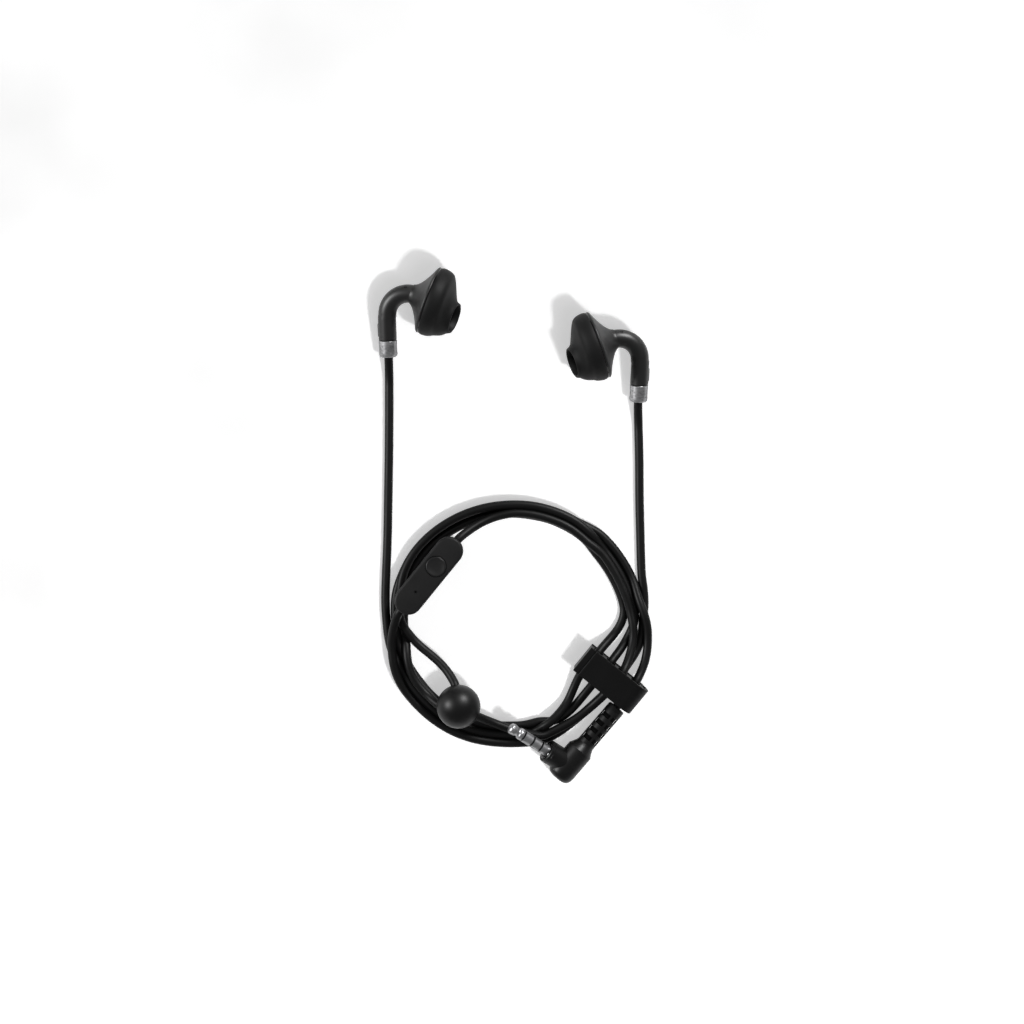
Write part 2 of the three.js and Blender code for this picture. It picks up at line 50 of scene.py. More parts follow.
RIM_R = 10.35
NOZZLE_SHIFT = (-2.2, 1.4)
SHIFT_START_U, SHIFT_END_U = 3.4, 6.9
NECK_U = -5.1
GAP = 0.3
STEM_R = 2.7
ELBOW_R = 6.4
ELBOW_TURN = math.radians(111)
STEM_STRAIGHT = 7.3
COLLAR_LENGTH = 5.0
PILL_LENGTH, PILL_WIDTH, PILL_HEIGHT = 27.3, 8.46, 4.8
BUTTON_X, BUTTON_R, MIC_X = 3.46, 3.0, -6.1
BALL_R = 6.5
PLUG_BODY_R, BARREL_R, BARREL_FACE, PIN_R = 4.05, 3.5, 8.1, 1.75
RELIEF_R, RELIEF_START, RELIEF_END = 2.75, 8.3, 22.3
CLIP_LENGTH, CLIP_WIDTH, CLIP_HEIGHT, CLIP_WALL = 21.5, 8.8, 8.4, 1.0
SLOT_AT = (2.8, 7.5, 12.0, 16.9)
SLOT_HALF = 1.6


def place(x, y, z, yaw=0.0, tilt=0.0, roll=0.0):
    """A frame at a layout point, turned by roll about x, then tilt, then yaw, in mm."""
    turn = (
        Matrix.Rotation(math.radians(yaw), 4, "Z")
        @ Matrix.Rotation(math.radians(-tilt), 4, "Y")
        @ Matrix.Rotation(math.radians(roll), 4, "X")
    )
    return Matrix.Translation((x, y, z)) @ turn


TO_ROW = Matrix.Scale(MM, 4) @ Matrix.Translation((-EARS_MIDDLE[0], -EARS_MIDDLE[1], 0))
EARS = {
    "left": (place(-23.6, 62.14, 10.4, yaw=-20.9, tilt=2.4, roll=17), 1),
    "right": (place(24.52, 48.97, 10.4, yaw=200.2, tilt=1.5, roll=163), -1),
}
REMOTE = place(-24.6, -18.8, 5.6, yaw=50.9)
BALL = place(-15.8, -57.5, 8.6)
PLUG = place(16.7, -75.0, 4.15, yaw=-40.7)
PIN = PLUG @ place(0, 0, 0, yaw=186.9, tilt=18)
CLIP = place(29.4, -49.8, 4.75, yaw=-38.9, roll=6)
SPLITTER_WAYS = ((-0.148, 0.989, -0.1), (-0.92, 0.05, -0.38), (0.86, -0.48, -0.3))


def along_stem(distance):
    """A point of the stem's straight part, from the end of its bend, in the ear's frame."""
    start = NECK_U - GAP
    return (
        start - ELBOW_R * math.sin(ELBOW_TURN) - distance * math.cos(ELBOW_TURN),
        ELBOW_R * (math.cos(ELBOW_TURN) - 1) - distance * math.sin(ELBOW_TURN),
        0,
    )


def collar_frame(side):
    ear = EARS[side][0]
    return ear @ place(*along_stem(STEM_STRAIGHT + GAP), yaw=math.degrees(ELBOW_TURN) - 180)


# ---- camera ------------------------------------------------------------------------

CAMERA_HEIGHT = 650
VIEW_WIDTH = 306.7
SENSOR = 36


def make_camera():
    data = bpy.data.cameras.new("camera")
    data.sensor_width = SENSOR
    data.lens = SENSOR * CAMERA_HEIGHT / VIEW_WIDTH
    data.clip_start = 0.01
    camera = bpy.data.objects.new("camera", data)
    camera.location = TO_ROW @ Vector((0, 0, CAMERA_HEIGHT))
    bpy.context.scene.collection.objects.link(camera)
    bpy.context.scene.camera = camera


make_camera()

# ---- cable routes ------------------------------------------------------------------
# The wound strands follow a ring of slightly uneven radius. A strand's lane is given by
# how far it lies inside that radius and how high it is, at a few angles.

RING_CENTRE = (1.5, -33.2)
RING_RADII = (38.0, 36.4, 35.3, 35.6, 36.5, 37.7, 38.2, 38.9, 37.7, 35.9, 36.8, 38.6)
RING_STEP = 30
LANE_STEP = 6
POINT_GAP = 1.3
PACKING = 0.97


def between(a, b, c, d, t):
    """A smooth curve's value at the share t of the way from b to c."""
    return 0.5 * (2 * b + (c - a) * t + (2 * a - 5 * b + 4 * c - d) * t**2
                  + (3 * b - a - 3 * c + d) * t**3)


def catmull(points, step):
    """Points every step along a smooth curve through the given ones."""
    p = np.array(points, float)
    p = np.vstack([2 * p[0] - p[1], p, 2 * p[-1] - p[-2]])
    fine = []
    for a, b, c, d in zip(p[:-3], p[1:-2], p[2:-1], p[3:]):
        count = max(2, int(np.linalg.norm(c - b) / 0.2))
        t = np.linspace(0, 1, count, endpoint=False)[:, None]
        fine.append(between(a, b, c, d, t))
    fine = np.vstack([*fine, p[-2:-1]])
    return resample(fine, step)


def resample(points, step):
    """Evenly spaced points along a line of points."""
    lengths = np.linalg.norm(np.diff(points, axis=0), axis=1)
    run = np.concatenate([[0], np.cumsum(lengths)])
    count = max(3, int(round(run[-1] / step)) + 1)
    where = np.linspace(0, run[-1], count)
    return np.stack([np.interp(where, run, points[:, k]) for k in range(3)], axis=1)


def ring_radius(angle):
    """The ring's radius at an angle in degrees, smoothly between the given ones."""
    spot = (angle % 360) / RING_STEP
    k = int(spot)
    near = (RING_RADII[(k + i) % len(RING_RADII)] for i in (-1, 0, 1, 2))
    return between(*near, spot - k)


def lane(*keys):
    """Points of a lane through (angle, inset, height) keys."""
    angles, insets, heights = zip(*keys)
    count = max(2, int(abs(angles[-1] - angles[0]) / LANE_STEP) + 1)
    t = np.interp(np.linspace(0, 1, count),
                  np.linspace(0, 1, len(angles)), np.arange(len(angles)))
    points = []
    for s in t:
        angle, inset, height = (np.interp(s, np.arange(len(angles)), v)
                                for v in (angles, insets, heights))
        r = ring_radius(angle) - PACKING * inset
        a = math.radians(angle)
        points.append((RING_CENTRE[0] + r * math.cos(a),
                       RING_CENTRE[1] + r * math.sin(a), height))
    return points


def through_slot(slot, height, stations=(-6, -2, 2, 6)):
    """Points of a cable in a slot of the clip, from its lower side to its upper one."""
    x = SLOT_AT[slot] - CLIP_LENGTH / 2
    return [tuple(CLIP @ Vector((x, along, height))) for along in stations]


def in_collar(side):
    """Points of a cable where it leaves a collar."""
    spots = (COLLAR_LENGTH - 0.8, COLLAR_LENGTH + 2)
    return [tuple(collar_frame(side) @ Vector((x, 0, 0))) for x in spots]


def from_ball(way, reach=(BALL_R - 1.5, BALL_R + 1.5)):
    """Points of a cable where it leaves the ball, one way out of the three."""
    direction = Vector(SPLITTER_WAYS[way]).normalized()
    return [tuple(BALL @ (direction * r)) for r in reach]


def pill_end(sign):
    """Points of a cable where it leaves an end of the remote."""
    spots = (PILL_LENGTH / 2 - 0.8, PILL_LENGTH / 2 + 1.5)
    return [tuple(REMOTE @ Vector((sign * x, 0, PILL_HEIGHT / 2))) for x in spots]


LOW_IN_SLOT, HIGH_IN_SLOT, ALONE_IN_SLOT = -0.82, 1.83, -0.4
FLOOR_Z = CABLE_R + 0.02

# The main cable: from the plug once round the coil and on to the ball's top.
MAIN_ROUTE = [
    *[tuple(PLUG @ Vector((0, RELIEF_START + q, 0))) for q in (0.2, 4.5, 8.5, 12.5)],
    *through_slot(3, 0, (-3, 1, 5)),
    (39.6, -45.8, 5.2), (40.6, -41.0, 4.7), (40.5, -36.7, 4.3),
    *lane((0, -0.6, 4.0), (8, 0, 3.9), (18, 0, 2.9), (30, 0, 1.7), (42, 0, FLOOR_Z)),
    *lane((54, 0.1, FLOOR_Z), (100, 0.1, FLOOR_Z), (150, 0.2, FLOOR_Z)),
    *lane((165, 0.7, FLOOR_Z), (180, 1.8, FLOOR_Z), (195, 2.9, FLOOR_Z),
          (208, 4.2, FLOOR_Z), (220, 5.2, FLOOR_Z), (245, 5.3, FLOOR_Z),
          (270, 5.2, FLOOR_Z)),
    (8.6, -63.9, FLOOR_Z), (13.4, -62.2, FLOOR_Z), (17.4, -59.5, 1.7), (20.2, -56.4, 2.4),
    *through_slot(1, ALONE_IN_SLOT),
    (33.0, -40.6, 3.2), (35.0, -36.8, 2.2),
    *lane((1, 2.4, 1.6), (15, 2.6, FLOOR_Z), (30, 2.4, 1.6), (45, 1.5, 3.1),
          (58, 0.3, 3.9)),
    *lane((64, 0.1, 4.0), (110, 0.1, 4.0), (146, 0.1, 4.0), (158, 0.7, 4.0),
          (166, 1.7, 4.0), (173, 3.0, 4.0)),
    (-33.2, -33.4, 4.1), (-31.3, -36.1, 4.2), (-28.7, -39.1, 4.5), (-25.5, -41.5, 5.1),
    (-22.3, -43.9, 6.0), (-19.6, -46.2, 6.9), (-17.9, -48.7, 7.5),
    *reversed(from_ball(0)),
]

# The left ear's cable: from the ball once round, and up to the left collar.
LEFT_ROUTE = [
    *in_collar("left"),
    (-36.7, 39.4, 2.6), (-36.7, 33, 1.6), (-36.7, 27.5, FLOOR_Z), (-36.8, 15.5, FLOOR_Z),
    (-37.0, 3.6, FLOOR_Z), (-37.2, -8.4, FLOOR_Z), (-37.7, -20.3, FLOOR_Z),
    (-37.9, -27.0, FLOOR_Z), (-37.5, -32.5, FLOOR_Z),
    *lane((189, 0.5, FLOOR_Z), (200, 1.5, FLOOR_Z), (215, 2.6, FLOOR_Z),
          (240, 2.7, FLOOR_Z), (270, 2.7, 1.5)),
    (4.0, -66.4, 2.4), (7.6, -65.0, 3.9), (11.4, -63.0, 4.2), (14.7, -60.2, 4.2),
    (17.0, -56.4, 4.1),
    *through_slot(0, ALONE_IN_SLOT),
    (28.9, -38.3, 3.4), (31.9, -35.2, 2.4), (33.5, -31.8, 1.6),
    *lane((6, 5.1, FLOOR_Z), (14, 5.1, FLOOR_Z), (25, 4.9, FLOOR_Z), (40, 4.0, FLOOR_Z),
          (55, 2.9, FLOOR_Z), (70, 2.7, FLOOR_Z)),
    *lane((76, 2.7, FLOOR_Z), (120, 2.7, FLOOR_Z), (150, 2.8, FLOOR_Z),
          (165, 3.2, FLOOR_Z), (178, 4.1, FLOOR_Z), (187, 4.2, 1.6), (195, 3.9, 2.6),
          (204, 3.9, 3.8), (212, 4.2, 4.4), (219, 4.7, 5.0)),
    *reversed(from_ball(1)),
]

# The right ear's cable, from its collar to the remote's lower end.
RIGHT_UPPER_ROUTE = [
    *in_collar("right"),
    (37.8, 26.5, 2.6), (37.9, 21, 1.6), (38.05, 15.5, FLOOR_Z), (38.1, 3.6, FLOOR_Z),
    (38.4, -8.4, FLOOR_Z), (38.7, -20.3, FLOOR_Z), (39.2, -27.0, FLOOR_Z),
    (39.4, -33.0, FLOOR_Z), (38.9, -38.3, 2.1), (36.9, -42.4, 3.2),
    *reversed(through_slot(2, LOW_IN_SLOT)),
    (24.3, -57.5, 2.7), (20.0, -61.3, 1.9), (15.0, -64.9, FLOOR_Z),
    *lane((285, 0, FLOOR_Z), (270, 0, FLOOR_Z), (245, 0, FLOOR_Z), (228, 0, 1.6),
          (212, 0, 2.9), (200, 0, 4.3), (192, 0.2, 5.6), (185.5, 0.7, 6.8)),
    (-35.2, -33.4, 7.5), *reversed(pill_end(-1)),
]

# The rest of it, from the remote's upper end to the ball.
RIGHT_LOWER_ROUTE = [
    *pill_end(1),
    (-12.6, -5.0, 7.0), (-7.4, -2.1, 5.6), (-2.0, -0.4, 4.7),
    *lane((88, 2.5, 4.2), (61, 2.4, 4.2), (48, 2.5, 4.2), (36, 3.0, 4.1), (25, 3.5, 4.0),
          (13, 3.6, 4.1), (2, 3.4, 4.4)),
    (36.4, -37.6, 5.4), (35.2, -42.4, 6.4),
    *reversed(through_slot(2, HIGH_IN_SLOT)),
    (24.4, -57.3, 5.6), (20.2, -61.0, 4.9), (15.0, -64.2, 4.3), (9.0, -66.4, 4.3),
    (3.8, -65.9, 4.2), (-1.2, -64.4, 4.2), (-5.2, -63.0, 4.9),
    *reversed(from_ball(2)),
]

ROUTES = {
    "cable_main": MAIN_ROUTE,
    "cable_left": LEFT_ROUTE,
    "cable_right_upper": RIGHT_UPPER_ROUTE,
    "cable_right_lower": RIGHT_LOWER_ROUTE,
}

# ---- settling the cables -----------------------------------------------------------
# A small position-based simulation: strands keep their length, lie on the floor, on each
# other, under the remote and round the ball and plug, and stay close to their routes.

ROUNDS = 160
SINK = 0.012  # how far a round lets a strand drop
HOLD, LATE_HOLD = 0.03, 0.01  # how strongly a strand keeps to its route across the table
LATE_SHARE = 0.7  # when the hold lets go
EVEN_OUT = 0.12  # how much of a kink a round takes away
OVERLAP = 0.03  # how much the soft jackets give where strands touch
END_POINTS = 5  # points at a cable's ends that may lie inside the piece they enter


def capsules():
    """(end, end, radius) of the rigid pieces that a strand can't enter."""
    pin_tip = PIN @ Vector((BARREL_FACE + 14, 0, 0))
    face = PIN @ Vector((BARREL_FACE - 1, 0, 0))
    elbow = PLUG.translation
    dome = PLUG @ Vector((0, -1.5, 0))
    shoulder = PLUG @ Vector((0, 4, 0))
    relief = PLUG @ Vector((0, RELIEF_END - 2, 0))
    ball = BALL.translation
    return [
        (elbow, face, BARREL_R), (face, pin_tip, PIN_R), (dome, shoulder, PLUG_BODY_R),
        (shoulder, relief, RELIEF_R), (ball, ball, BALL_R),
    ]


def push_out(x, free, solid):
    """Moves the free points out of a capsule, by a cable's radius."""
    a, b, radius = (np.array(solid[0]), np.array(solid[1]), solid[2] + CABLE_R)
    ab = b - a
    t = np.clip((x - a) @ ab / max(ab @ ab, 1e-9), 0, 1)[:, None]
    away = x - (a + t * ab)
    distance = np.linalg.norm(away, axis=1)
    inside = (distance < radius) & free
    away = away[inside] / np.maximum(distance[inside], 1e-6)[:, None]
    x[inside] += away * (radius - distance[inside])[:, None]


def under_pill(x, free):
    """Keeps the free points that pass below the remote under its back."""
    local = (x - np.array(REMOTE.translation)) @ np.array(REMOTE.to_3x3())
    reach = np.maximum(np.abs(local[:, 0]) - (PILL_LENGTH - PILL_WIDTH) / 2, 0)
    across = np.hypot(reach, local[:, 1])
    below = (across < PILL_WIDTH / 2 + 0.4) & free & (local[:, 2] < PILL_HEIGHT / 2)
    ceiling = REMOTE.translation.z - CABLE_R - 0.02
    x[below, 2] = np.minimum(x[below, 2], ceiling)


def is_pinned(points):
    """The points that lie inside a collar, the clip, the plug, the remote or the ball."""
    pinned = np.zeros(len(points), bool)
    pinned[:2] = pinned[-2:] = True
    clip = (points - np.array(CLIP.translation)) @ np.array(CLIP.to_3x3())
    across, along = np.abs(clip[:, 0]), np.abs(clip[:, 1])
    pinned |= (along < CLIP_WIDTH / 2 + 0.3) & (across < CLIP_LENGTH / 2)
    plug = (points - np.array(PLUG.translation)) @ np.array(PLUG.to_3x3())
    pinned |= (np.hypot(plug[:, 0], plug[:, 2]) < 1.0) & (np.abs(plug[:, 1] - 15) < 8.5)
    return pinned


def settle(routes):
    """The strands' points after they come to rest, by name."""
    names = list(routes)
    strands = [catmull(routes[name], POINT_GAP) for name in names]
    sizes = [len(s) for s in strands]
    x = np.vstack(strands)
    home = x.copy()
    owner = np.repeat(np.arange(len(names)), sizes)
    index = np.concatenate([np.arange(n) for n in sizes])
    pinned = np.concatenate([is_pinned(s) for s in strands])
    near_end = (index < END_POINTS) | (index >= np.array(sizes)[owner] - END_POINTS)
    free = ~pinned
    weight = free.astype(float)
    link = np.flatnonzero(owner[:-1] == owner[1:])
    rest = np.linalg.norm(x[link + 1] - x[link], axis=1)
    solids = capsules()
    thick = 2 * CABLE_R - OVERLAP
    for round_number in range(ROUNDS):
        x[free, 2] -= SINK
        pull = HOLD if round_number < ROUNDS * LATE_SHARE else LATE_HOLD
        x[free, :2] += pull * (home[free, :2] - x[free, :2])
        middle = link[1:][link[1:] == link[:-1] + 1]
        even = (x[middle - 1] + x[middle + 1]) / 2 - x[middle]
        x[middle] += EVEN_OUT * even * weight[middle, None]
        for parity in (0, 1):
            some = link[link % 2 == parity]
            length = rest[link % 2 == parity]
            gap = x[some + 1] - x[some]
            now = np.linalg.norm(gap, axis=1)
            share = weight[some] + weight[some + 1]
            fix = gap * ((now - length) / np.maximum(now, 1e-6) / np.maximum(share, 1))[:, None]
            x[some] += fix * weight[some, None]
            x[some + 1] -= fix * weight[some + 1, None]
        square = (x**2).sum(1)
        apart2 = square[:, None] + square[None, :] - 2 * (x @ x.T)
        i, j = np.nonzero(np.triu(apart2 < thick**2, 1))
        other = (owner[i] != owner[j]) | (np.abs(i - j) > 4)
        i, j = i[other], j[other]
        gap = x[j] - x[i]
        now = np.maximum(np.linalg.norm(gap, axis=1), 1e-6)
        share = weight[i] + weight[j]
        fix = 0.5 * gap * ((thick - now) / now / np.maximum(share, 1))[:, None]
        np.add.at(x, i, -fix * weight[i, None])
        np.add.at(x, j, fix * weight[j, None])
        for solid in solids:
            push_out(x, free & ~near_end, solid)
        under_pill(x, free & ~near_end)
        x[:, 2] = np.maximum(x[:, 2], FLOOR_Z)
    ends = np.cumsum(sizes)[:-1]
    return dict(zip(names, np.split(x, ends)))


SETTLED = settle(ROUTES)

# ---- materials ---------------------------------------------------------------------


GRAIN_DETAIL = 4
GRAIN_HEIGHT = 0.05
BROAD_PATCHES = 0.18
DARKEST, LIGHTEST = 0.85, 1.12  # a grain's shades, as shares of the finish's colour


def material(name, color, roughness, metallic=0.0, specular=0.4, grain=0.9, bump=0.08,
             variation=0.08, stretch=(1, 1, 1), flecks=0.0, edge=1.0):
    """A finish with a fine grain: grain is its size in millimetres, bump its depth.

    An edge under 1 darkens a metal where it turns away."""
    made = bpy.data.materials.new(name)
    made.use_nodes = True
    nodes, links = made.node_tree.nodes, made.node_tree.links
    shader = nodes["Principled BSDF"]
    shader.inputs["Metallic"].default_value = metallic
    shader.inputs["Specular IOR Level"].default_value = specular
    shader.inputs["Specular Tint"].default_value = (edge, edge, edge, 1)
    where = nodes.new("ShaderNodeTexCoord")
    scaled = nodes.new("ShaderNodeMapping")
    scaled.inputs["Scale"].default_value = [s / MM for s in stretch]
    links.new(where.outputs["Object"], scaled.inputs["Vector"])
    fine = nodes.new("ShaderNodeTexNoise")
    fine.inputs["Scale"].default_value = 1 / grain
    fine.inputs["Detail"].default_value = GRAIN_DETAIL
    links.new(scaled.outputs["Vector"], fine.inputs["Vector"])
    broad = nodes.new("ShaderNodeTexNoise")
    broad.inputs["Scale"].default_value = BROAD_PATCHES
    links.new(scaled.outputs["Vector"], broad.inputs["Vector"])
    spread = nodes.new("ShaderNodeMapRange")
    spread.inputs["To Min"].default_value = max(0.02, roughness - variation)
    spread.inputs["To Max"].default_value = min(1, roughness + variation)
    links.new(broad.outputs["Fac"], spread.inputs["Value"])
    links.new(spread.outputs["Result"], shader.inputs["Roughness"])
    shade = nodes.new("ShaderNodeValToRGB")
    shade.color_ramp.elements[0].position = 0.3
    shade.color_ramp.elements[0].color = (*[c * (DARKEST - flecks) for c in color], 1)
    shade.color_ramp.elements[1].position = 0.7 - 0.25 * flecks
    shade.color_ramp.elements[1].color = (*[min(1, c * LIGHTEST) for c in color], 1)
    links.new(fine.outputs["Fac"], shade.inputs["Fac"])
    links.new(shade.outputs["Color"], shader.inputs["Base Color"])
    relief = nodes.new("ShaderNodeBump")
    relief.inputs["Strength"].default_value = bump
    relief.inputs["Distance"].default_value = GRAIN_HEIGHT * MM
    links.new(fine.outputs["Fac"], relief.inputs["Height"])
    links.new(relief.outputs["Normal"], shader.inputs["Normal"])
    return made


def grey(value):
    return (value, value, value * 1.02)


SILICONE = material("silicone", grey(0.005), 0.6, specular=0.16, grain=0.5)
SOFT_TOUCH = material("soft_touch", grey(0.006), 0.46, specular=0.42, grain=0.5, bump=0.05)
SATIN = material("satin_plastic", grey(0.004), 0.44, specular=0.5, bump=0.02)
GLOSS = material("gloss_black", grey(0.005), 0.16, specular=0.5, bump=0.01)
# Painted shade: a dull near-black that stands in for the shade inside holes.
HOLE_SHADE = material("painted_hole_shade", grey(0.002), 0.8, specular=0.05)
REMOTE_PLASTIC = material("remote_plastic", grey(0.008), 0.5, specular=0.2, grain=0.25, bump=0.2)
BUTTON_PLASTIC = material("button_plastic", grey(0.009), 0.4, specular=0.3, grain=0.25)
BALL_RUBBER = material("ball_rubber", grey(0.002), 0.42, specular=0.26, grain=0.4, bump=0.05)
PLUG_PLASTIC = material("plug_plastic", grey(0.003), 0.42, specular=0.26, grain=0.4)
CLIP_RUBBER = material("clip_rubber", grey(0.003), 0.5, specular=0.14, grain=0.5, bump=0.1)
CORD = material("cord_jacket", grey(0.003), 0.48, specular=0.17, grain=0.4, bump=0.06)
BRUSHED = material("brushed_steel", grey(0.42), 0.4, metallic=1, grain=0.35, bump=0.05,
                   stretch=(0.15, 1, 1), flecks=0.12, edge=0.1)
MARKED = material("marked_steel", grey(0.36), 0.42, metallic=1, grain=0.5, bump=0.08,
                  stretch=(0.5, 1, 1), flecks=0.3, edge=0.1)
NICKEL = material("nickel", grey(0.4), 0.4, metallic=1, bump=0.02, variation=0.04,
                  edge=0.4)
STEEL_MESH = material("steel_mesh", grey(0.25), 0.45, metallic=1, grain=0.3, bump=0.8)
MAGNET = material("magnet_steel", grey(0.5), 0.35, metallic=1)
COPPER = material("coil_copper", (0.6, 0.24, 0.1), 0.35, metallic=1, stretch=(6, 1, 1))
FILM = material("diaphragm_film", (0.62, 0.6, 0.54), 0.3)
BOARD = material("board_green", (0.02, 0.16, 0.06), 0.5, specular=0.5)

# ---- shapes ------------------------------------------------------------------------


def add(name, mesh, finish, turn, smooth=40):
    """A mesh in a millimetre frame, laid out in the row frame."""
    mesh.transform(TO_ROW @ turn)
    mesh.polygons.foreach_set("use_smooth", [True] * len(mesh.polygons))
    mesh.set_sharp_from_angle(angle=math.radians(smooth))
    mesh.materials.append(finish)
    made = bpy.data.objects.new(name, mesh)
    bpy.context.scene.collection.objects.link(made)
    return made


def to_mesh(name, points, faces):
    mesh = bpy.data.meshes.new(name)
    mesh.from_pydata([tuple(p) for p in points], [], faces)
    shape = bmesh.new()
    shape.from_mesh(mesh)
    bmesh.ops.remove_doubles(shape, verts=shape.verts, dist=1e-5)
    bmesh.ops.recalc_face_normals(shape, faces=shape.faces)
    shape.to_mesh(mesh)
    shape.free()
    return mesh


def rounded(profile, keep=35, step=0.25):
    """A profile with smooth runs between its sharp corners, of more than keep degrees."""
    p = np.array(profile, float)
    sharp = [0]
    for i in range(1, len(p) - 1):
        a, b = p[i] - p[i - 1], p[i + 1] - p[i]
        turn = abs(math.degrees(math.atan2(a[0] * b[1] - a[1] * b[0], a @ b)))
        if turn > keep:
            sharp.append(i)
    sharp.append(len(p) - 1)
    out = []
    for a, b in zip(sharp[:-1], sharp[1:]):
        run = p[a:b + 1]
        if len(run) > 2:
            run = catmull(np.column_stack([run, np.zeros(len(run))]), step)[:, :2]
        out.extend(map(tuple, run[:-1]))
    return [*out, tuple(p[-1])]


def lathe(name, profile, segments=72, slide=lambda u, y, z: (u, y, z)):
    """A body turned about x from (x, radius) points. slide moves each of its points."""
    points, faces = [], []
    count = len(profile)
    for s in range(segments):
        a = 2 * math.pi * s / segments
        for u, r in profile:
            points.append(slide(u, r * math.cos(a), r * math.sin(a)))
    for s in range(segments):
        t = (s + 1) % segments
        for k in range(count - 1):
            faces.append((s * count + k, s * count + k + 1, t * count + k + 1, t * count + k))
    return to_mesh(name, points, faces)


def sweep(name, path, radius, sides=32, caps=True):
    """A round tube along a path of points; radius is one number or one for each point."""
    p = np.array(path, float)
    radii = np.broadcast_to(radius, len(p))
    tangents = np.gradient(p, axis=0)
    tangents /= np.linalg.norm(tangents, axis=1)[:, None]
    side = np.cross(tangents[0], (0, 0, 1))
    points, faces = [], []
    for spot, tangent, r in zip(p, tangents, radii):
        side = side - tangent * (side @ tangent)
        side /= np.linalg.norm(side)
        up = np.cross(tangent, side)
        for s in range(sides):
            a = 2 * math.pi * s / sides
            points.append(spot + r * (side * math.cos(a) + up * math.sin(a)))
    for k in range(len(p) - 1):
        for s in range(sides):
            t = (s + 1) % sides
            faces.append((k * sides + s, k * sides + t, (k + 1) * sides + t, (k + 1) * sides + s))
    if caps:
        faces.append(tuple(range(sides)))
        faces.append(tuple((len(p) - 1) * sides + s for s in range(sides)))
    return to_mesh(name, points, faces)


def stadium_ring(length, width, inset, z, corner=24):
    """A stadium's outline at a height, drawn in by the inset."""
    radius = width / 2 - inset
    half = (length - width) / 2
    ring = []
    for end in (1, -1):
        for k in range(corner + 1):
            a = math.pi * (k / corner - 0.5) + (0 if end == 1 else math.pi)
            ring.append((end * half + radius * math.cos(a), radius * math.sin(a), z))
    return ring


def pill(name, length, width, rings):
    """A stadium-shaped body from (inset, height) rings, closed at both ends."""
    loops = [stadium_ring(length, width, inset, z) for inset, z in rings]
    count = len(loops[0])
    faces = [tuple(range(count))[::-1], tuple((len(loops) - 1) * count + k for k in range(count))]
    for i in range(len(loops) - 1):
        for k in range(count):
            t = (k + 1) % count
            faces.append((i * count + k, i * count + t, (i + 1) * count + t, (i + 1) * count + k))
    return to_mesh(name, [p for loop in loops for p in loop], faces)


def prism(name, outline, width):
    """An outline in x and z, drawn out along y."""
    count = len(outline)
    points = [(x, side * width / 2, z) for side in (-1, 1) for x, z in outline]
    faces = [tuple(range(count)), tuple(range(2 * count - 1, count - 1, -1))]
    faces += [(k, (k + 1) % count, count + (k + 1) % count, count + k) for k in range(count)]
    return to_mesh(name, points, faces)


def block(size, turn):
    shape = bmesh.new()
    bmesh.ops.create_cube(shape, size=1, matrix=turn @ Matrix.Diagonal((*size, 1)))
    mesh = bpy.data.meshes.new("block")
    shape.to_mesh(mesh)
    shape.free()
    return mesh


def cut(mesh, shapes):
    """The mesh with the shapes taken out, all in one millimetre frame."""
    body = bpy.data.objects.new("cut_body", mesh)
    bpy.context.scene.collection.objects.link(body)
    helpers = []
    for shape in shapes:
        helper = bpy.data.objects.new("cut_shape", shape)
        bpy.context.scene.collection.objects.link(helper)
        change = body.modifiers.new("cut", "BOOLEAN")
        change.operation = "DIFFERENCE"
        change.object = helper
        helpers.append(helper)
    depsgraph = bpy.context.evaluated_depsgraph_get()
    result = bpy.data.meshes.new_from_object(body.evaluated_get(depsgraph))
    for used in (body, *helpers):
        bpy.data.objects.remove(used)
    return result


def soften(obj, width, segments=3, angle=35):
    """Rounds an object's sharp edges."""
    edge = obj.modifiers.new("edge", "BEVEL")
    edge.width = width * MM
    edge.segments = segments
    edge.limit_method = "ANGLE"
    edge.angle_limit = math.radians(angle)
    edge.harden_normals = True


# ---- earpieces ---------------------------------------------------------------------

MOUTH_TILT = math.tan(math.radians(9))


def nozzle_slide(turn, mirror):
    """Moves the nozzle off the rim's axis and turns its mouth a little upwards."""
    up = turn.to_3x3().inverted() @ Vector((0, 0, 1))

    def slide(u, y, z):
        t = min(max((u - SHIFT_START_U) / (SHIFT_END_U - SHIFT_START_U), 0), 1)
        share = t * t * (3 - 2 * t)
        lean = share * MOUTH_TILT * (y * up.y + z * up.z)
        return u - lean, y + share * NOZZLE_SHIFT[0], z + share * NOZZLE_SHIFT[1] * mirror
    return slide


TIP_OUTSIDE = [
    (-0.4, 10.1), (0.0, RIM_R - 0.08), (0.6, RIM_R), (1.4, 10.3), (2.5, 10.05), (3.4, 9.6),
    (4.3, 8.8), (5.1, 7.75), (5.8, 6.7), (6.4, 5.85), (7.0, 5.2), (7.6, 4.8), (8.1, 4.6),
    (8.2, 4.5), (8.25, 4.35),
]
TIP_MOUTH = [(8.2, 4.2), (8.0, 4.1), (7.0, 4.0), (6.3, 3.9)]
TIP_INSIDE = [
    (5.7, 4.3), (5.2, 5.2), (4.6, 6.0), (3.9, 7.1), (3.1, 8.35), (2.0, 9.1), (0.4, 9.45),
    (-0.4, 9.5), (-0.4, 10.1),
]
REAR_OUTSIDE = [
    (-0.7, 9.9), (-0.8, 10.15), (-1.0, 10.2), (-1.3, 10.05), (-1.7, 9.35), (-2.2, 8.3),
    (-2.8, 7.1), (-3.5, 5.85), (-4.3, 4.65), (-5.1, 3.7), (-5.9, 3.05), (-6.6, 2.75),
]
REAR_INSIDE = [(-6.6, 2.2), (-4.2, 2.2), (-3.2, 5.0), (-1.5, 8.3), (-0.7, 8.6), (-0.7, 9.9)]
SEAM_RING = [(-0.68, 9.5), (-0.68, 10.12), (-0.42, 10.12), (-0.42, 9.5), (-0.68, 9.5)]
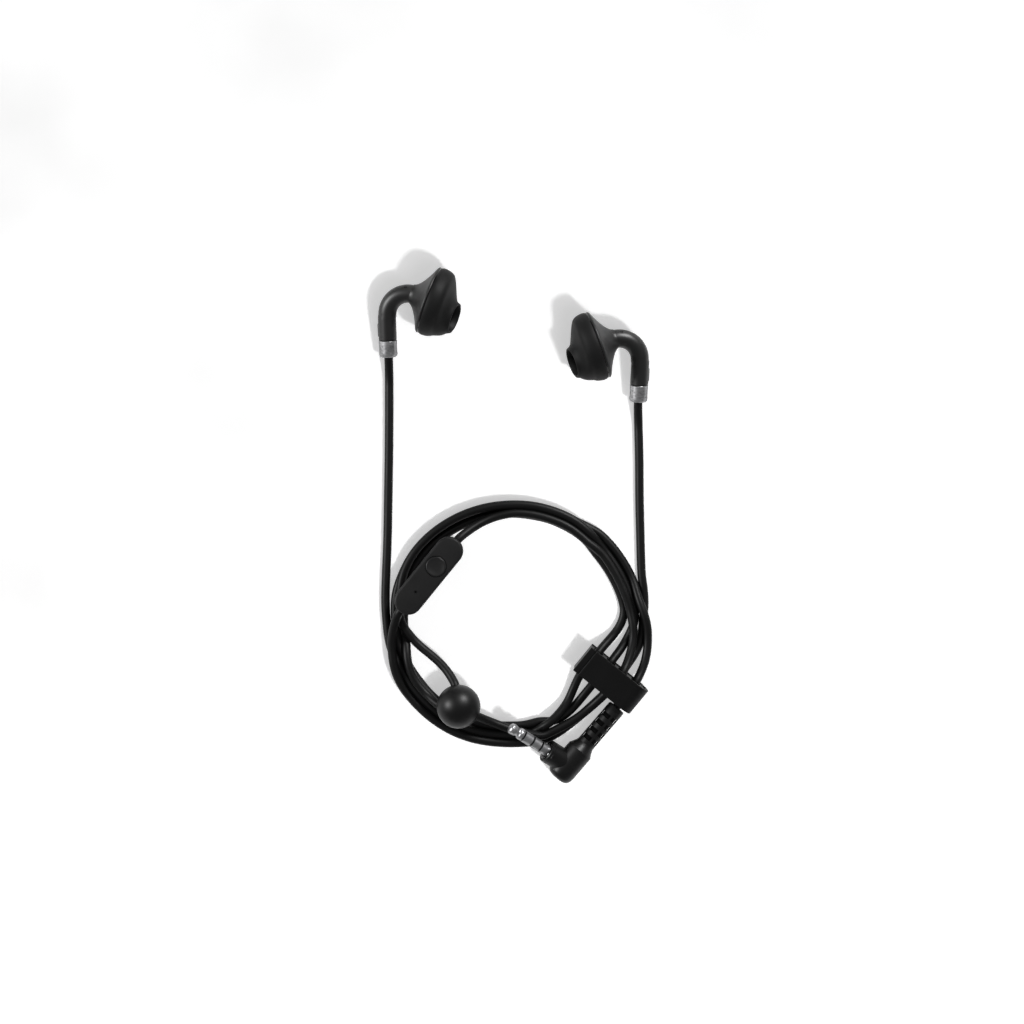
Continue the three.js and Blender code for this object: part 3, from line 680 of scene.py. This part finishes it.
INNER_FINISHES = {
    "front_baffle": PLUG_PLASTIC, "nozzle_mesh": STEEL_MESH, "driver_basket": MAGNET,
    "driver_magnet": MAGNET, "voice_coil": COPPER, "diaphragm": FILM, "cable_crimp": NICKEL,
}


def repaint(node, finish):
    """A CAD node that stays gets a finish and smooth shading."""
    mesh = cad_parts[node].data
    mesh.polygons.foreach_set("use_smooth", [True] * len(mesh.polygons))
    mesh.set_sharp_from_angle(angle=math.radians(40))
    mesh.materials.clear()
    mesh.materials.append(finish)


def make_ear(side):
    turn, mirror = EARS[side]
    slide = nozzle_slide(turn, mirror)
    tip = add(
        f"{side}_tip_skin",
        lathe(f"{side}_tip_skin", [*rounded(TIP_OUTSIDE, 60), *TIP_MOUTH, *TIP_INSIDE],
              96, slide),
        SILICONE, turn, 50,
    )
    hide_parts(f"{side}_ear_tip")
    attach(tip, f"{side}_tip")
    rear = add(
        f"{side}_rear_shell",
        lathe(f"{side}_rear_shell", [*rounded(REAR_OUTSIDE, 60), *REAR_INSIDE], 96),
        SOFT_TOUCH, turn, 50,
    )
    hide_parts(f"{side}_rear_housing")
    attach(rear, "root")
    ring = add(f"{side}_seam_ring", lathe(f"{side}_seam_ring", SEAM_RING, 96), GLOSS, turn)
    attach(ring, "root")
    make_elbow(side, turn)
    make_collar(side)
    for part, finish in INNER_FINISHES.items():
        repaint(f"{side}_{part}", finish)


BEND_STEPS, STRAIGHT_STEPS = 36, 10
VENT_SHARE = 0.22  # how far round the bend the vent lies
STEM_OUTWARD = Vector((-math.sin(ELBOW_TURN), math.cos(ELBOW_TURN), 0))
PAD_STATIONS = (2.2, 2.5, 3.0, 4.5, 6.0, 6.5, 6.8)
PAD_RADII = (0.1, 0.45, 0.55, 0.55, 0.55, 0.45, 0.1)


def make_elbow(side, turn):
    start = NECK_U - 0.1
    path = []
    for i in range(BEND_STEPS + 1):
        a = ELBOW_TURN * i / BEND_STEPS
        path.append((start - ELBOW_R * math.sin(a), ELBOW_R * (math.cos(a) - 1), 0))
    path += [along_stem(STEM_STRAIGHT * k / STRAIGHT_STEPS)
             for k in range(1, STRAIGHT_STEPS + 1)]
    stem = add(f"{side}_stem", sweep(f"{side}_stem", path, STEM_R, 48), SATIN, turn, 60)
    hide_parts(f"{side}_elbow_stem")
    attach(stem, "root")
    pad_path = [Vector(along_stem(s)) + STEM_OUTWARD * (STEM_R - 0.3) for s in PAD_STATIONS]
    pad = add(f"{side}_side_pad", sweep(f"{side}_side_pad", pad_path, PAD_RADII, 16), SATIN, turn)
    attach(pad, "root")
    make_vent(side, turn, start)


def make_vent(side, turn, start):
    """A small vent hole at the top of the bend, near the rear housing: a disc in painted shade
    stands in for the hole.
    """
    bend = ELBOW_TURN * VENT_SHARE
    centre = Vector((start - ELBOW_R * math.sin(bend), ELBOW_R * (math.cos(bend) - 1), 0))
    outward = Vector((-math.sin(bend), math.cos(bend), 0))
    up = turn.to_3x3().inverted() @ Vector((0, 0, 1))
    up.x = 0
    out = (outward + 0.9 * up.normalized()).normalized()
    facing = out.to_track_quat("X").to_matrix().to_4x4()
    spot = Matrix.Translation(centre + out * (STEM_R - 0.12)) @ facing
    profile = [(0, 0), (0, 0.42), (0.14, 0.42), (0.17, 0.34), (0.1, 0.28), (0.1, 0)]
    vent = add(f"{side}_vent", lathe(f"{side}_vent", profile, 24), HOLE_SHADE, turn @ spot)
    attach(vent, "root")


BAND_START, BAND_END, BAND_DEPTH, BAND_STEP = 1.16, 3.58, 0.06, 0.02


def make_collar(side):
    """A steel collar with a shallow band of another grain round its middle."""
    turn = collar_frame(side)
    sunk = STEM_R - BAND_DEPTH
    profile = [(0, 2.2), (0, 2.62), (0.08, STEM_R), (BAND_START, STEM_R),
               (BAND_START + BAND_STEP, sunk), (BAND_END - BAND_STEP, sunk),
               (BAND_END, STEM_R), (4.2, STEM_R), (4.6, 2.6), (4.85, 2.4),
               (COLLAR_LENGTH, 2.1), (COLLAR_LENGTH, CABLE_R + 0.1), (0, CABLE_R + 0.1), (0, 2.2)]
    collar = lathe(f"{side}_collar_shell", profile, 96)
    collar = add(f"{side}_collar_shell", collar, BRUSHED, turn, 30)
    collar.data.materials.append(MARKED)
    back = (TO_ROW @ turn).inverted()
    for face in collar.data.polygons:
        spot = back @ face.center
        if BAND_START < spot.x < BAND_END - BAND_STEP and spot.yz.length > sunk - 0.1:
            face.material_index = 1
    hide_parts(f"{side}_collar")
    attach(collar, "root")


for ear_side in EARS:
    make_ear(ear_side)

# ---- remote ------------------------------------------------------------------------

PILL_SPLIT = PILL_HEIGHT / 2


def upright(name, profile, x, segments=64):
    """A body turned about z at x, from (height, radius) points."""
    mesh = lathe(name, profile, segments)
    mesh.transform(Matrix.Translation((x, 0, 0)) @ Matrix.Rotation(-math.pi / 2, 4, "Y"))
    return mesh


def make_remote():
    lower = [(0.9, 0), (0.45, 0.1), (0.14, 0.42), (0, 0.95), (0, PILL_SPLIT - 0.05)]
    upper = [(0, PILL_SPLIT + 0.05), (0, 4.0), (0.06, 4.32), (0.22, 4.58), (0.45, 4.74),
             (0.75, PILL_HEIGHT)]
    bottom = add("remote_lower_shell", pill("remote_lower_shell", PILL_LENGTH, PILL_WIDTH, lower),
                 REMOTE_PLASTIC, REMOTE)
    well_r = BUTTON_R + 0.16
    well = upright("well", [(3.8, 0), (3.8, well_r), (6, well_r), (6, 0)], BUTTON_X)
    hole = upright("hole", [(4.0, 0), (4.0, 0.4), (6, 0.4), (6, 0)], MIC_X, 24)
    top = cut(pill("remote_upper_shell", PILL_LENGTH, PILL_WIDTH, upper), [well, hole])
    top = add("remote_upper_shell", top, REMOTE_PLASTIC, REMOTE, 25)
    dish = [(4.36, 0), (4.36, BUTTON_R), (4.8, BUTTON_R), (4.96, BUTTON_R - 0.12),
            (5.0, BUTTON_R - 0.3), (4.94, BUTTON_R - 0.6), (4.78, 1.6), (4.7, 0.8), (4.68, 0)]
    button = add("remote_button_cap", upright("remote_button_cap", rounded(dish, 50), BUTTON_X),
                 BUTTON_PLASTIC, REMOTE, 50)
    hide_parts("remote_bottom_shell")
    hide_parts("remote_top_shell")
    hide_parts("remote_button")
    for shell, body in ((bottom, "root"), (top, "root"), (button, "remote_button")):
        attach(shell, body)
    for node, finish in (("circuit_board", BOARD), ("switch", MAGNET), ("microphone", MAGNET),
                         ("cable_stop_upper", NICKEL), ("cable_stop_lower", NICKEL)):
        repaint(f"remote_{node}", finish)


make_remote()

# ---- splitter ball -----------------------------------------------------------------


def make_ball():
    half = [(BALL_R * math.cos(a), BALL_R * math.sin(a)) for a in np.linspace(math.pi, 0, 49)]
    ball = add("splitter_ball_skin", lathe("splitter_ball_skin", half, 96),
               BALL_RUBBER, BALL @ Matrix.Rotation(math.pi / 2, 4, "Y"), 60)
    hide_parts("splitter_ball")
    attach(ball, "root")
    repaint("splitter_core", NICKEL)


make_ball()

# ---- plug --------------------------------------------------------------------------

PIN_SPOT = PIN @ Matrix.Translation((BARREL_FACE, 0, 0))
CABLE_AXIS = PLUG @ Matrix.Rotation(math.pi / 2, 4, "Z")
CONTACTS = (
    ("plug_sleeve", -0.5, 2.3, NICKEL), ("plug_insulator_3", 2.3, 2.9, GLOSS),
    ("plug_ring_2", 2.9, 5.4, NICKEL), ("plug_insulator_2", 5.4, 6.0, GLOSS),
    ("plug_ring_1", 6.0, 8.7, NICKEL), ("plug_insulator_1", 8.7, 9.3, GLOSS),
)
# The windows cut through the strain relief, in rings.
WINDOW_RINGS, WINDOW_START, WINDOW_PITCH = 4, 10.0, 2.85
WINDOW_TURNS = (55, 145, 235, 325)
WINDOW_SIZE = (1.45, 3.3, 3.4)
WINDOW_OUT = 3.3
CORE_R = 2.15


def make_plug():
    pieces = []
    for node, start, end, finish in CONTACTS:
        r = PIN_R if finish is NICKEL else PIN_R - 0.05
        profile = [(start, 0), (start, r), (end, r), (end, 0)]
        slot = "plug_nickel" if finish is NICKEL else "black_plastic"
        pieces.append((f"{node}_band", profile, finish, PIN_SPOT, node, slot))
    point = [(9.3, 0), (9.3, PIN_R - 0.05), (9.35, PIN_R), (10.2, PIN_R), (10.55, 1.45),
             (10.95, 1.25), (11.3, 1.3), (11.8, 1.55), (13.1, 1.66), (13.5, 1.5), (13.8, 1.15),
             (13.95, 0.7), (14.0, 0)]
    pieces.append(("plug_point", rounded(point, 50), NICKEL, PIN_SPOT, "plug_tip", "plug_nickel"))
    step = [(-0.5, 0), (-0.5, 2.75), (0.1, 2.75), (0.2, 2.65), (0.2, 0)]
    pieces.append(("plug_step", step, GLOSS, PIN_SPOT, "plug_collar", "black_plastic"))
    for name, profile, finish, turn, node, slot in pieces:
        made = add(name, lathe(name, profile, 64), finish, turn)
        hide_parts(node)
        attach(made, "root")
    dome = [(-5.4, 0), (-5.36, 1.2), (-5.2, 2.3), (-4.75, 3.2), (-3.9, 3.8), (-2.8, 4.02),
            (-1.5, PLUG_BODY_R), (5.0, PLUG_BODY_R), (5.5, 3.95), (5.9, 3.72), (7.3, 3.0),
            (8.0, RELIEF_R), (8.0, 0)]
    body = add("plug_elbow", lathe("plug_elbow", rounded(dome, 50), 96), PLUG_PLASTIC, CABLE_AXIS)
    barrel = [(0, 0), (0, BARREL_R), (BARREL_FACE - 1.1, BARREL_R), (BARREL_FACE - 1.0, 3.4),
              (BARREL_FACE - 0.9, BARREL_R), (BARREL_FACE - 0.25, BARREL_R),
              (BARREL_FACE, BARREL_R - 0.25), (BARREL_FACE, 3.0), (BARREL_FACE - 0.8, 3.0),
              (BARREL_FACE - 0.8, 0)]
    neck = add("plug_barrel", lathe("plug_barrel", barrel, 96), PLUG_PLASTIC, PIN, 30)
    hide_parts("plug_body")
    tube = [(RELIEF_START - 0.3, 1.85), (RELIEF_START - 0.3, RELIEF_R),
            (RELIEF_END - 0.5, RELIEF_R), (RELIEF_END - 0.15, RELIEF_R - 0.12),
            (RELIEF_END, RELIEF_R - 0.4), (RELIEF_END, 1.85), (RELIEF_START - 0.3, 1.85)]
    windows = []
    for ring in range(WINDOW_RINGS):
        along = Matrix.Translation((WINDOW_START + WINDOW_PITCH * ring, 0, 0))
        for turn in WINDOW_TURNS:
            across = Matrix.Rotation(math.radians(turn), 4, "X")
            outward = Matrix.Translation((0, 0, WINDOW_OUT))
            windows.append(block(WINDOW_SIZE, along @ across @ outward))
    relief = cut(lathe("plug_relief", tube, 72), windows)
    relief = add("plug_relief", relief, PLUG_PLASTIC, CABLE_AXIS, 25)
    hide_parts("plug_strain_relief")
    # The core is the cable inside the relief, in near-black painted shade so that its windows
    # look deep.
    core_end = RELIEF_END - 1
    inside = [(RELIEF_START, 0), (RELIEF_START, CORE_R), (core_end, CORE_R), (core_end, 0)]
    core = add("plug_relief_core", lathe("plug_relief_core", inside), HOLE_SHADE, CABLE_AXIS)
    for made in (body, neck, relief, core):
        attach(made, "root")


make_plug()

# ---- cable clip --------------------------------------------------------------------

NOSE_X = CLIP_LENGTH / 2 - CLIP_HEIGHT / 2
OPEN_X = -CLIP_LENGTH / 2


def arc(x, radius, start, end, steps=24):
    turns = np.radians(np.linspace(start, end, steps + 1))
    return [(x + radius * math.cos(a), radius * math.sin(a)) for a in turns]


def make_clip():
    half = CLIP_HEIGHT / 2
    inner = half - CLIP_WALL
    crease = OPEN_X + 1.9
    outline = [
        (OPEN_X, -half), *arc(NOSE_X, half, -90, 90), (crease + 0.2, half),
        (crease, half - 0.25), (crease - 0.2, half), (OPEN_X, half), (OPEN_X, inner),
        *arc(NOSE_X, inner, 90, -90), (OPEN_X, -inner),
    ]
    sleeve = add("clip_band", prism("clip_band", outline, CLIP_WIDTH), CLIP_RUBBER, CLIP, 25)
    soften(sleeve, 0.22)
    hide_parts("clip_sleeve")
    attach(sleeve, "clip_sleeve")
    reach = inner - GAP
    floor = 0.7 - reach
    under = reach - 0.4
    mouth = SLOT_HALF - 0.2
    last = OPEN_X + SLOT_AT[-1] + mouth
    round_end = math.degrees(math.acos((last - NOSE_X) / reach))
    comb = [(OPEN_X, -reach), *arc(NOSE_X, reach, -90, round_end)]
    for at in reversed(SLOT_AT):
        x = OPEN_X + at
        if x + mouth < NOSE_X:
            comb.append((x + mouth, reach))
        comb += [(x + mouth, under), (x + SLOT_HALF, under), (x + SLOT_HALF, floor),
                 (x - SLOT_HALF, floor), (x - SLOT_HALF, under), (x - mouth, under),
                 (x - mouth, reach)]
    comb.append((OPEN_X, reach))
    rack = add("clip_rack", prism("clip_rack", comb, CLIP_WIDTH - 0.6), PLUG_PLASTIC, CLIP, 25)
    soften(rack, 0.1, 2)
    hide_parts("clip_comb")
    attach(rack, "root")


make_clip()

# ---- cables ------------------------------------------------------------------------

CABLE_NODES = {
    "cable_main": ("cable_coil", "cable_splitter_link", "cable_strand_b", "cable_strand_d"),
    "cable_left": ("cable_left_lead", "cable_strand_a"),
    "cable_right_upper": ("cable_right_lead", "cable_strand_c_low", "cable_remote_link_lower"),
    "cable_right_lower": ("cable_strand_c_high", "cable_remote_link_upper"),
}


def make_cable(name):
    points = SETTLED[name]
    data = bpy.data.curves.new(name, "CURVE")
    data.dimensions = "3D"
    data.bevel_depth = CABLE_R * MM
    data.bevel_resolution = 7
    data.use_fill_caps = True
    data.resolution_u = 3
    line = data.splines.new("NURBS")
    line.points.add(len(points) - 1)
    for spot, point in zip(line.points, points):
        spot.co = (*(TO_ROW @ Vector(point)), 1)
    line.order_u = 4
    line.use_endpoint_u = True
    data.materials.append(CORD)
    cable = bpy.data.objects.new(name, data)
    bpy.context.scene.collection.objects.link(cable)
    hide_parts(*CABLE_NODES[name])
    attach(cable, "root")
    return cable


def run_length(name):
    return float(np.linalg.norm(np.diff(SETTLED[name], axis=0), axis=1).sum()) * MM


def declare(name, exit_end):
    start = SETTLED[name][0 if exit_end == 0 else -1]
    tuple(TO_ROW @ Vector(start))
    round(run_length(name), 3)


CABLES = {name: make_cable(name) for name in ROUTES}
PLUG_PIECES = (
    "plug_elbow", "plug_barrel", "plug_relief", "plug_relief_core", "plug_point", "plug_step",
    *(f"{node}_band" for node, *_ in CONTACTS),
)
declare("cable_main", -1)
declare("cable_left", 0)
declare("cable_right_upper", 0)
declare("cable_right_lower", 0)

# ---- floor and light ---------------------------------------------------------------

FLOOR_REACH = 6  # metres
FLOOR_GLOW = 0.46
SKY = 0.22


def make_floor():
    mesh = bpy.data.meshes.new("floor")
    corners = ((-1, -1), (1, -1), (1, 1), (-1, 1))
    mesh.from_pydata([(x * FLOOR_REACH, y * FLOOR_REACH, 0) for x, y in corners],
                     [], [(0, 1, 2, 3)])
    white = material("floor_white", (0.8, 0.8, 0.8), 0.9, specular=0.05,
                     grain=60, bump=0, variation=0)
    shader = white.node_tree.nodes["Principled BSDF"]
    shader.inputs["Emission Color"].default_value = (1, 1, 1, 1)
    shader.inputs["Emission Strength"].default_value = FLOOR_GLOW
    mesh.materials.append(white)
    floor = bpy.data.objects.new("floor", mesh)
    bpy.context.scene.collection.objects.link(floor)


def area_light(name, spot, size, power, shines, aim=(0, -0.05, 0)):
    """A round light that either lights the scene softly or only shows as a highlight."""
    data = bpy.data.lights.new(name, "AREA")
    data.shape = "DISK"
    data.size = size
    data.energy = power
    light = bpy.data.objects.new(name, data)
    light.location = spot
    light.rotation_euler = (Vector(aim) - Vector(spot)).to_track_quat("-Z", "Y").to_euler()
    light.visible_glossy = shines
    light.visible_diffuse = not shines
    bpy.context.scene.collection.objects.link(light)


make_floor()
area_light("key", (0.45, -0.52, 1.05), 0.1, 8.5, shines=False)
area_light("key_wide", (0.36, -0.42, 1.15), 0.45, 2, shines=False)
area_light("shine", (0.42, 0.60, 0.56), 0.2, 12, shines=True)
area_light("rim", (-0.85, 0.10, 0.55), 0.3, 11, shines=True)
world = bpy.data.worlds.new("studio")
world.use_nodes = True
world.node_tree.nodes["Background"].inputs["Color"].default_value = (1, 1, 1, 1)
world.node_tree.nodes["Background"].inputs["Strength"].default_value = SKY
bpy.context.scene.world = world
bpy.context.scene.view_settings.view_transform = "Standard"
